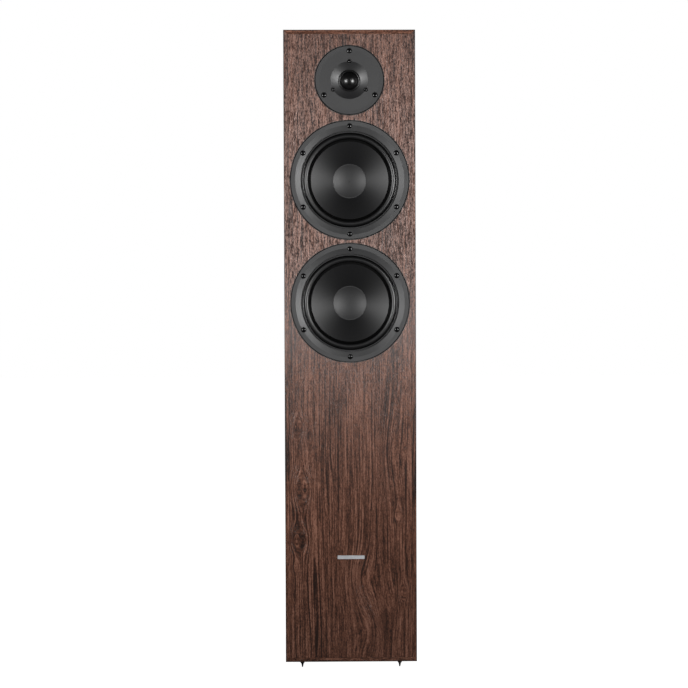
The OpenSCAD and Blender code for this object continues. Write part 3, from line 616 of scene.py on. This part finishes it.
def black_steel():
    """Blackened steel with a glossy oiled skin and brighter worn spots."""
    steel = Finish("black_steel", Metallic=0.0, Specular_IOR_Level=0.35)
    skin = steel.grains(700.0, 3.0)
    worn = steel.grains(1500.0, 2.0).step(0.66, 0.78)
    tint = steel.ramp(skin, (0.3, srgb(5, 5, 6)), (0.7, srgb(14, 14, 15)))
    steel.colour(steel.mix(worn * 0.2, tint, srgb(90, 90, 92)))
    steel.rough(0.17 + (skin - 0.5) * 0.16)
    steel.bump(skin, 0.01 * MM)
    return steel.material


def fibreboard():
    """Raw fibreboard: tan flock with darker and paler fibres."""
    board = Finish("fibreboard", Specular_IOR_Level=0.25)
    flock = board.grains(900.0, 4.0, 0.7)
    fibres = board.noise(board.x * 350.0, board.y * 350.0, board.z * 2200.0, 3.0, 0.6)
    tone = flock * 0.6 + fibres * 0.4
    board.colour(board.ramp(tone, (0.3, srgb(138, 104, 68)), (0.7, srgb(198, 163, 118))))
    board.rough(0.8 + (flock - 0.5) * 0.2)
    board.bump(flock, 0.1 * MM)
    return board.material


def wadding_fibre():
    """White polyester fibre, matted, with painted shade that greys the hollows."""
    fleece = Finish("wadding_fibre", Specular_IOR_Level=0.1, Sheen_Weight=0.5, Sheen_Roughness=0.6)
    tufts = fleece.grains(120.0, 4.0, 0.65)
    strands = fleece.grains(1400.0, 4.0, 0.75)
    tone = tufts * 0.5 + strands * 0.5
    # Painted shade: grey where the relief sinks, white on the tufts
    fleece.colour(fleece.ramp(tone, (0.3, srgb(168, 165, 156)), (0.65, srgb(236, 234, 228))))
    fleece.rough(0.95)
    fleece.bump(tone, 1.2 * MM)
    return fleece.material


def spider_cloth(name, centre):
    """Resin-dipped cotton of the spider: a tan weave, darker where the resin gathered."""
    cloth = Finish(name, Specular_IOR_Level=0.3)
    radius, _ = cloth.around(centre)
    weave = cloth.weave(0.7 * MM)
    resin = cloth.grains(150.0, 3.0) * 0.7 + (radius * 300.0).math("FRACT") * 0.3
    tint = cloth.ramp(resin, (0.25, srgb(142, 94, 38)), (0.7, srgb(201, 160, 84)))
    cloth.colour(cloth.mix(weave * 0.25, tint, srgb(120, 80, 35)))
    cloth.rough(0.7 + (resin - 0.5) * 0.2)
    cloth.bump(weave, 0.1 * MM)
    return cloth.material


def ferrite():
    """Sintered ferrite: dark grey ceramic with pinholes and pale scuffs."""
    stone = Finish("ferrite", Specular_IOR_Level=0.5)
    grain = stone.grains(1100.0, 4.0, 0.7)
    pits = stone.pores(420.0).step(0.12, 0.05)
    scuffs = stone.noise(stone.x * 90.0, stone.y * 700.0, stone.z * 90.0, 3.0).step(0.62, 0.75)
    tint = stone.ramp(grain, (0.3, srgb(42, 42, 44)), (0.7, srgb(70, 70, 72)))
    stone.colour(stone.mix(scuffs * 0.35, tint, srgb(120, 120, 120)))
    stone.rough(0.5 + (grain - 0.5) * 0.3)
    stone.bump(grain * 0.4 - pits, 0.05 * MM)
    return stone.material


def copper_winding():
    """Enamelled copper wire wound round axes along Y: each turn is a ridge, with painted shade
    darkening the copper between the turns.
    """
    wire = Finish("copper_winding", Metallic=1.0)
    turns = ridges(wire.y, 0.7 * MM)
    enamel = wire.grains(320.0, 2.0)
    tone = turns * 0.7 + enamel * 0.3
    # Painted shade: the copper darker in the grooves between turns, paler on their crests
    wire.colour(wire.ramp(tone, (0.2, srgb(110, 48, 22)), (0.7, srgb(214, 128, 76))))
    wire.rough(0.3 + (enamel - 0.5) * 0.2)
    wire.bump(turns, 0.15 * MM)
    return wire.material


def circuit_board():
    """Green solder mask over copper tracks, with tinned pads in rows."""
    board = Finish("circuit_board", Specular_IOR_Level=0.6)
    track = board.noise(board.x * 110.0, 0.0, board.z * 110.0, 0.0)
    tracks = (track * 8.0).math("PINGPONG", 0.5).step(0.2, 0.26)
    pads = board.cells(board.x * 200.0, 0.0, board.z * 200.0).step(0.24, 0.2)
    glass = board.grains(900.0, 3.0)
    mask = board.ramp(glass, (0.3, srgb(18, 74, 42)), (0.7, srgb(30, 96, 56)))
    tint = board.mix(tracks * 0.45, mask, srgb(60, 138, 84))
    board.colour(board.mix(pads, tint, srgb(196, 198, 200)))
    board.rough(0.34 - pads * 0.08 + (glass - 0.5) * 0.1)
    board.bump(tracks * 0.5 + pads * 0.5, 0.04 * MM)
    return board.material


def banded_film(name, body, mark):
    """Creased capacitor film with printed stripes at even heights."""
    film = Finish(name, Specular_IOR_Level=0.5)
    crease = film.grains(220.0, 3.0)
    stripe = (film.z * 190.0).math("FRACT").math("PINGPONG", 0.5).step(0.04, 0.02)
    tint = film.ramp(crease, (0.3, body), (0.7, tuple(channel * 1.25 for channel in body)))
    film.colour(film.mix(stripe * 0.7, tint, mark))
    film.rough(0.3 + (crease - 0.5) * 0.3)
    film.bump(crease, 0.1 * MM)
    return film.material


def rough_ceramic(name, dark, light):
    """Cast cement or ceramic with chips and pores, with painted shade darkening the pores."""
    stone = Finish(name, Specular_IOR_Level=0.35)
    grain = stone.grains(800.0, 4.0, 0.7)
    pits = stone.pores(500.0).step(0.16, 0.06)
    # Painted shade: darker in the sunken pores
    stone.colour(stone.ramp(grain - pits * 0.3, (0.2, dark), (0.65, light)))
    stone.rough(0.75 + (grain - 0.5) * 0.2)
    stone.bump(grain * 0.4 - pits * 0.6, 0.12 * MM)
    return stone.material


def foam():
    """Closed-cell sealing foam, with painted shade darkening each sunken cell."""
    sponge = Finish("sealing_foam", Specular_IOR_Level=0.2)
    holes = sponge.pores(1500.0)
    # Painted shade: dark in the sunken middle of each cell
    sponge.colour(sponge.ramp(holes, (0.1, srgb(20, 20, 20)), (0.7, srgb(58, 58, 58))))
    sponge.rough(0.9)
    sponge.bump(holes, 0.25 * MM)
    return sponge.material


def lead_insulation():
    """Soft insulation: red on the right half of the loom and black on the left."""
    skin = Finish("lead_insulation", Specular_IOR_Level=0.45)
    bloom = skin.grains(240.0, 3.0)
    red = skin.ramp(bloom, (0.3, srgb(132, 24, 20)), (0.7, srgb(168, 40, 32)))
    black = skin.ramp(bloom, (0.3, srgb(18, 18, 18)), (0.7, srgb(36, 36, 36)))
    skin.colour(skin.mix(skin.x.math("GREATER_THAN", 0.0), black, red))
    skin.rough(0.42 + (bloom - 0.5) * 0.2)
    skin.bump(bloom, 0.05 * MM)
    return skin.material


# ---------------------------------------------------------------- shapes


def lathe(name, outline, centre, material, steps=256, crease=38.0):
    """A ring turned about an axis along Y through centre.

    outline is a closed loop of (radius, distance in front of the baffle).
    """
    count = len(outline)
    points = []
    for step in range(steps):
        angle = math.tau * step / steps
        points += [
            (centre.x + r * math.cos(angle), FRONT - out, centre.z + r * math.sin(angle))
            for r, out in outline
        ]
    faces = []
    for step in range(steps):
        here, there = step * count, (step + 1) % steps * count
        for i in range(count):
            j = (i + 1) % count
            faces.append((here + i, here + j, there + j, there + i))
    return solid(name, points, faces, material, crease)


def solid(name, points, faces, material, crease=38.0):
    """A smooth-shaded mesh object whose corners over crease degrees stay sharp."""
    mesh = bpy.data.meshes.new(name)
    mesh.from_pydata(points, [], faces)
    mesh.shade_smooth()
    mesh.set_sharp_from_angle(angle=math.radians(crease))
    mesh.materials.append(material)
    piece = bpy.data.objects.new(name, mesh)
    bpy.context.scene.collection.objects.link(piece)
    return piece


def arc(start, end, sag, steps):
    """Points from start to end along a round arc that rises sag above the chord, on its left."""
    start, end = Vector(start), Vector(end)
    chord = end - start
    half = chord.length / 2
    radius = (half * half + sag * sag) / (2 * abs(sag))
    up = Vector((-chord.y, chord.x)).normalized() * math.copysign(1.0, sag)
    centre = (start + end) / 2 - up * (radius - abs(sag))
    sweep = 2 * math.asin(min(half / radius, 1.0))
    if abs(sag) > half:
        sweep = math.tau - sweep
    turn = -math.copysign(sweep, sag)
    spoke = start - centre
    return [tuple(centre + Matrix.Rotation(turn * i / steps, 2) @ spoke) for i in range(steps + 1)]


def share_by_radius(piece, centre, still, moving):
    """Work out each vertex's share by radius, 0 at still and 1 at moving with a smooth turn between;
    the share is not stored or used.
    """
    for vertex in piece.data.vertices:
        radius = math.hypot(vertex.co.x - centre.x, vertex.co.z - centre.z)
        t = min(max((radius - still) / (moving - still), 0.0), 1.0)
        t * t * (3 - 2 * t)


def bent_ring(piece, centre, still, moving):
    """Bake a turned ring's place into its mesh and work out its shares by radius from still to
    moving, which nothing uses; the ring is not blended or attached to a body.
    """
    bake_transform(piece)
    share_by_radius(piece, centre, still, moving)


def roll_span(which):
    """The inner and outer radius of a woofer's rubber roll."""
    cone_edge = half_width(f"{which}_woofer_cone")
    seat_edge = half_width(f"{which}_woofer_surround")
    return cone_edge + 1.8 * MM, seat_edge - 2.8 * MM


def woofer_surround(which, material):
    """The rubber roll between the frame's seat and the cone, with its bead and its glued flange."""
    node = f"{which}_woofer_surround"
    cone = f"{which}_woofer_cone"
    centre = middle(node)
    seat_out = half_width(node)
    roll_in, roll_out = roll_span(which)
    cone_out, cone_front = half_width(cone), foremost(cone)
    rise = (roll_out - roll_in) / 2
    base = foremost(node) - rise
    skin = 0.7 * MM
    bead = 1.6 * MM
    flange_in = cone_out - 1.4 * MM
    # The front from the outside in: the bead, the groove, the roll, and the flange on the cone
    front = [
        (seat_out, base),
        (seat_out, base + bead - 0.3 * MM),
        (seat_out - 0.3 * MM, base + bead),
        (roll_out + 1.6 * MM, base + bead),
        (roll_out + 1.1 * MM, base + bead - 0.4 * MM),
        (roll_out + 0.8 * MM, base + 0.5 * MM),
        (roll_out + 0.15 * MM, base + 0.3 * MM),
    ]
    front += arc((roll_out, base), (roll_in, base), -rise, 40)[1:-1]
    front += [
        (roll_in - 0.15 * MM, base - 0.1 * MM),
        (cone_out + 0.6 * MM, cone_front + 0.75 * MM),
        (flange_in + 0.3 * MM, cone_front + 0.12 * MM),
        (flange_in, cone_front - 0.3 * MM),
    ]
    # The back from the inside out, one skin behind the front
    back = [
        (flange_in + 0.1 * MM, cone_front - 0.55 * MM),
        (cone_out + 0.2 * MM, cone_front + 0.1 * MM),
    ]
    back += arc((roll_in + skin, base), (roll_out - skin, base), rise - skin, 40)
    ring = lathe(f"{which}_surround", front + back, centre, material)
    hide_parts(node)
    bent_ring(ring, centre, roll_out, roll_in)


def woofer_spider(which, material):
    """The corrugated cloth that centres the voice coil."""
    node = f"{which}_woofer_spider"
    centre = middle(node)
    inner = half_width(f"{which}_woofer_voice_coil") - 0.45 * MM
    outer = half_width(node) - 0.2 * MM
    first_wave, last_wave = inner + 4 * MM, outer - 3 * MM
    seat, wave, cloth = -34.6 * MM, 1.3 * MM, 0.6 * MM
    steps, waves = 60, 5
    front = [(outer, seat + cloth)]
    for i in range(steps + 1):
        radius = last_wave + (first_wave - last_wave) * i / steps
        front.append((radius, seat + cloth + wave * math.sin(math.tau * waves * i / steps)))
    front.append((inner, seat + cloth))
    back = [(radius, out - cloth) for radius, out in reversed(front)]
    ring = lathe(f"{which}_spider", front + back, centre, material, 160)
    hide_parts(node)
    bent_ring(ring, centre, last_wave, first_wave)


def tweeter_surround(material):
    """The small silk roll round the dome, glued to the top plate outside."""
    node = "tweeter_surround"
    centre = middle(node)
    rise = 1.15 * MM
    base = foremost(node) - rise
    dome_edge = half_width("tweeter_dome")
    dome_in, dome_out = dome_edge - 0.45 * MM, dome_edge + 0.05 * MM
    roll_out = dome_out + 2 * rise
    glued_out = half_width(node) - 0.1 * MM
    skin = 0.35 * MM
    outline = [(glued_out, base - 0.4 * MM), (glued_out, base), (roll_out + 0.2 * MM, base)]
    outline += arc((roll_out, base), (dome_out, base), -rise, 20)
    outline += [(dome_in, base)]
    inside = base - 0.3 * MM
    outline += arc((dome_out + skin, inside), (roll_out - skin, inside), rise - skin, 20)
    ring = lathe("tweeter_roll", outline, centre, material, 160)
    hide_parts(node)
    bent_ring(ring, centre, roll_out, dome_out)


def crowned(unit):
    """A point of a cube from -1 to 1, moved in where a plump pad's edges and corners draw in."""
    return Vector(
        (
            unit.x * (1 - 0.02 * unit.y**2 - 0.015 * unit.z**6),
            unit.y * (1 - 0.5 * max(abs(unit.x), abs(unit.z)) ** 6),
            unit.z * (1 - 0.01 * unit.y**2 - 0.01 * unit.x**6),
        )
    )


def tuft(place):
    """The shift of a pad's skin at a place: broad tufts with finer ones on them."""
    broad = noise.noise_vector(place * 55.0) * 0.0022
    return broad + noise.noise_vector(place * 160.0) * 0.0011


def skin_quads(cells):
    """The squares on the skin of a block of cells, each (four grid places, facing outwards)."""
    for axis in range(3):
        u, v = [a for a in range(3) if a != axis]
        for end in (0, cells[axis]):
            outward = (end > 0) != (axis == 1)
            for p in range(cells[u]):
                for q in range(cells[v]):
                    quad = []
                    for du, dv in ((0, 0), (1, 0), (1, 1), (0, 1)):
                        place = [0, 0, 0]
                        place[axis], place[u], place[v] = end, p + du, q + dv
                        quad.append(tuple(place))
                    yield quad, outward


def tufted_pad(name, low, high, material):
    """A pad of loose fibre between two corners: crowned, soft at its edges and tufted all over."""
    cell = 7 * MM
    room_for_tufts = 0.94
    size = high - low
    centre = (low + high) / 2
    cells = [max(2, round(length / cell)) for length in size]
    points, index, faces = [], {}, []
    for quad, outward in skin_quads(cells):
        for grid_place in quad:
            if grid_place not in index:
                index[grid_place] = len(points)
                unit = Vector(2 * n / total - 1 for n, total in zip(grid_place, cells))
                shares = zip(crowned(unit), size)
                place = Vector(share * s * 0.5 * room_for_tufts for share, s in shares) + centre
                points.append(place + tuft(place))
        face = [index[grid_place] for grid_place in quad]
        faces.append(face if outward else face[::-1])
    pad = solid(name, points, faces, material, 180.0)
    pad.modifiers.new("soften", "SUBSURF").levels = 1
    return pad


def wadding(material):
    """Two fibre pads on the rear panel: one behind each woofer."""
    low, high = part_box("damping_wadding")
    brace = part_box("upper_brace")
    gap = 12 * MM
    spans = [("lower", low.z, brace[0].z - gap), ("upper", brace[1].z + gap, high.z)]
    for which, bottom, top in spans:
        corners = Vector((low.x, low.y, bottom)), Vector((high.x, high.y, top))
        pad = tufted_pad(f"wadding_{which}", *corners, material)
        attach(pad, "cabinet")
        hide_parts("damping_wadding")


# ---------------------------------------------------------------- materials on the CAD nodes


def paint(material, *nodes):
    """Give CAD nodes a material."""
    for node in nodes:
        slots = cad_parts[node].data.materials
        slots.clear()
        slots.append(material)


def paint_cabinet():
    """The walnut outside, each panel with its own stretch of grain, the braces and the badge."""
    knots, bends = baffle_figure()
    holes = [(middle(node), half_width(node) + RECESS_GAP) for node in RECESSED]
    front = walnut("walnut_front", "z", "x", "y", 0.0, knots, bends, CALM_HEIGHTS, holes)
    paint(front, "front_baffle")
    paint(walnut("walnut_left", "z", "y", "x", 11.0, calm=CALM_HEIGHTS), "side_panel_left")
    paint(walnut("walnut_right", "z", "y", "x", 23.0, calm=CALM_HEIGHTS), "side_panel_right")
    paint(walnut("walnut_rear", "z", "x", "y", 37.0), "rear_panel")
    paint(walnut("walnut_ends", "x", "y", "z", 51.0), "top_panel", "bottom_panel")
    paint(fibreboard(), "upper_brace", "lower_brace")
    paint(brushed_plate("badge_metal", srgb(168, 170, 174), srgb(232, 233, 236)), "name_badge")


def paint_drivers():
    """The seen parts of the three drivers, and the finer rings that replace their soft parts."""
    for which in ("upper", "lower"):
        node = f"{which}_woofer_"
        centre = middle(node + "basket")
        paint(cast_frame(node + "frame", centre, half_width(node + "basket")), node + "basket")
        paint(cone_paper(node + "paper", centre), node + "cone")
        paint(cap_fibre(node + "cap"), node + "dust_cap")
        woofer_surround(which, rubber(node + "rubber", centre, *roll_span(which)))
        woofer_spider(which, spider_cloth(node + "cloth", centre))
    paint(faceplate(), "tweeter_faceplate")
    silk = coated_silk("coated_silk")
    paint(silk, "tweeter_dome")
    tweeter_surround(silk)


MOTORS = ("upper_woofer_", "lower_woofer_", "tweeter_")


def paint_motors():
    """The magnets, steel and coils behind the drivers, with the crossover's coils."""
    steel = turned_metal("motor_steel", srgb(122, 124, 128), srgb(188, 190, 194), 0.35)
    stone = ferrite()
    paint(copper_winding(), "crossover_inductors", *[motor + "voice_coil" for motor in MOTORS])
    for motor in MOTORS:
        paint(steel, motor + "top_plate", motor + "yoke")
        paint(stone, motor + "magnet")


def paint_fittings():
    """The port, terminals, spikes, screws and gaskets."""
    black = moulded_plastic("black_plastic", srgb(20, 20, 21), srgb(36, 36, 38), 0.42)
    paint(black, "port_tube", "terminal_cup", "tweeter_rear_chamber")
    spikes = [f"spike_{end}_{side}" for end in ("front", "rear") for side in ("left", "right")]
    tweeter_screws = ["tweeter_mounting_screws", "tweeter_assembly_screws"]
    paint(black_steel(), *spikes, *tweeter_screws, "woofer_screws", "terminal_cup_screws")
    zinc = turned_metal("zinc_steel", srgb(150, 152, 158), srgb(214, 216, 220), 0.32)
    paint(zinc, "spike_inserts", "post_nuts")
    gilt = turned_metal("gilt_brass", srgb(176, 126, 48), srgb(236, 190, 98), 0.2)
    paint(gilt, "post_stud_red", "post_stud_black", "post_core_red", "post_core_black")
    red = moulded_plastic("red_cap", srgb(122, 10, 12), srgb(160, 20, 20), 0.22, Coat_Weight=0.3)
    paint(red, "post_cap_red")
    dark = moulded_plastic("black_cap", srgb(14, 14, 15), srgb(28, 28, 29), 0.22, Coat_Weight=0.3)
    paint(dark, "post_cap_black")
    paint(foam(), "woofer_gaskets")


def paint_crossover():
    """The crossover's board and parts, apart from its coils, and the internal leads."""
    paint(circuit_board(), "crossover_board")
    film = banded_film("film_capacitor", srgb(190, 150, 36), srgb(60, 50, 30))
    paint(film, "crossover_capacitors")
    cement = rough_ceramic("cement_resistor", srgb(188, 184, 172), srgb(238, 236, 228))
    paint(cement, "crossover_resistors")
    paint(lead_insulation(), "wiring_loom")


# ---------------------------------------------------------------- studio


# The camera's lens in millimetres, its place, and its turns in degrees, fitted to the cabinet's
# outline in the photograph: a long lens at mid height, a little left of the speaker
CAMERA_LENS = 84.43
CAMERA_PLACE = (-0.0432, FRONT - 2.5, BODY_BOTTOM + 0.5371)
CAMERA_YAW, CAMERA_PITCH, CAMERA_ROLL = 0.766, -0.982, -0.218


def turned(degrees, axis):
    """A rotation matrix."""
    return Matrix.Rotation(math.radians(degrees), 4, axis)


def make_camera():
    """The camera that takes the photograph's view."""
    camera = bpy.data.cameras.new("camera")
    camera.sensor_width = 36.0
    camera.lens = CAMERA_LENS
    camera.clip_start = 0.05
    place = bpy.data.objects.new("camera", camera)
    bpy.context.scene.collection.objects.link(place)
    bpy.context.scene.camera = place
    level = turned(90, "X")
    aim = turned(-CAMERA_YAW, "Z") @ level @ turned(CAMERA_PITCH, "X") @ turned(CAMERA_ROLL, "Z")
    place.matrix_world = Matrix.Translation(CAMERA_PLACE) @ aim


def softbox(name, azimuth, distance, height, side, power, target_height, spread=180):
    """A square lamp at an azimuth (0 in front, positive to the right), aimed at the middle."""
    lamp = bpy.data.lights.new(name, "AREA")
    lamp.shape = "RECTANGLE"
    lamp.size, lamp.size_y = side, side
    lamp.energy = power
    lamp.spread = math.radians(spread)
    place = bpy.data.objects.new(name, lamp)
    bpy.context.scene.collection.objects.link(place)
    angle = math.radians(azimuth)
    place.location = (distance * math.sin(angle), FRONT - distance * math.cos(angle), height)
    aim = Vector((0, FRONT, target_height)) - place.location
    place.rotation_euler = aim.to_track_quat("-Z", "Y").to_euler()


def make_lights():
    """Two narrow softboxes in front, which make the sheen, and two strong ones behind."""
    front = {"distance": 3.0, "height": 0.9, "side": 0.9, "target_height": 0.7, "spread": 40}
    softbox("softbox_left", -35, power=3.9, **front)
    softbox("softbox_right", 35, power=4.6, **front)
    behind = {"distance": 2.6, "height": 1.3, "side": 1.2, "target_height": 0.5, "power": 26}
    softbox("back_left", -140, **behind)
    softbox("back_right", 140, **behind)


def camera_ray(tree):
    """1 for what the camera sees directly, and 0 for light on its way to something else."""
    return Value(tree, tree.nodes.new("ShaderNodeLightPath").outputs["Is Camera Ray"])


def make_world():
    """White to the camera, and a dim even fill light to everything else."""
    world = bpy.data.worlds.new("studio")
    world.use_nodes = True
    bpy.context.scene.world = world
    tree = world.node_tree
    background = tree.nodes["Background"]
    background.inputs["Color"].default_value = (1, 1, 1, 1)
    fill = 0.03
    strength = camera_ray(tree) * (1 - fill) + fill
    connect(tree, strength, background.inputs["Strength"])


def make_floor():
    """A floor that the camera sees as white as the backdrop, with a faint mottle."""
    floor = Finish("floor", Base_Color=(0.3, 0.3, 0.3), Roughness=0.8, Emission_Color=(1, 1, 1))
    glow = camera_ray(floor.tree) * (0.99 + floor.grains(40.0, 3.0) * 0.03)
    connect(floor.tree, glow, floor.shader.inputs["Emission Strength"])
    reach = 12.0
    points = [(x * reach, y * reach, 0.0) for x, y in ((-1, -1), (1, -1), (1, 1), (-1, 1))]
    plane = solid("floor", points, [(0, 1, 2, 3)], floor.material)
    plane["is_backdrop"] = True


# ---------------------------------------------------------------- the scene

bpy.context.scene.view_settings.view_transform = "Standard"
make_camera()
make_lights()
make_world()
make_floor()
paint_cabinet()
paint_drivers()
paint_motors()
paint_fittings()
paint_crossover()
wadding(wadding_fibre())

sizes = {"cad": cad_bounds, "visual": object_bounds()}
{name: [list(corner) for corner in box] for name, box in sizes.items()}
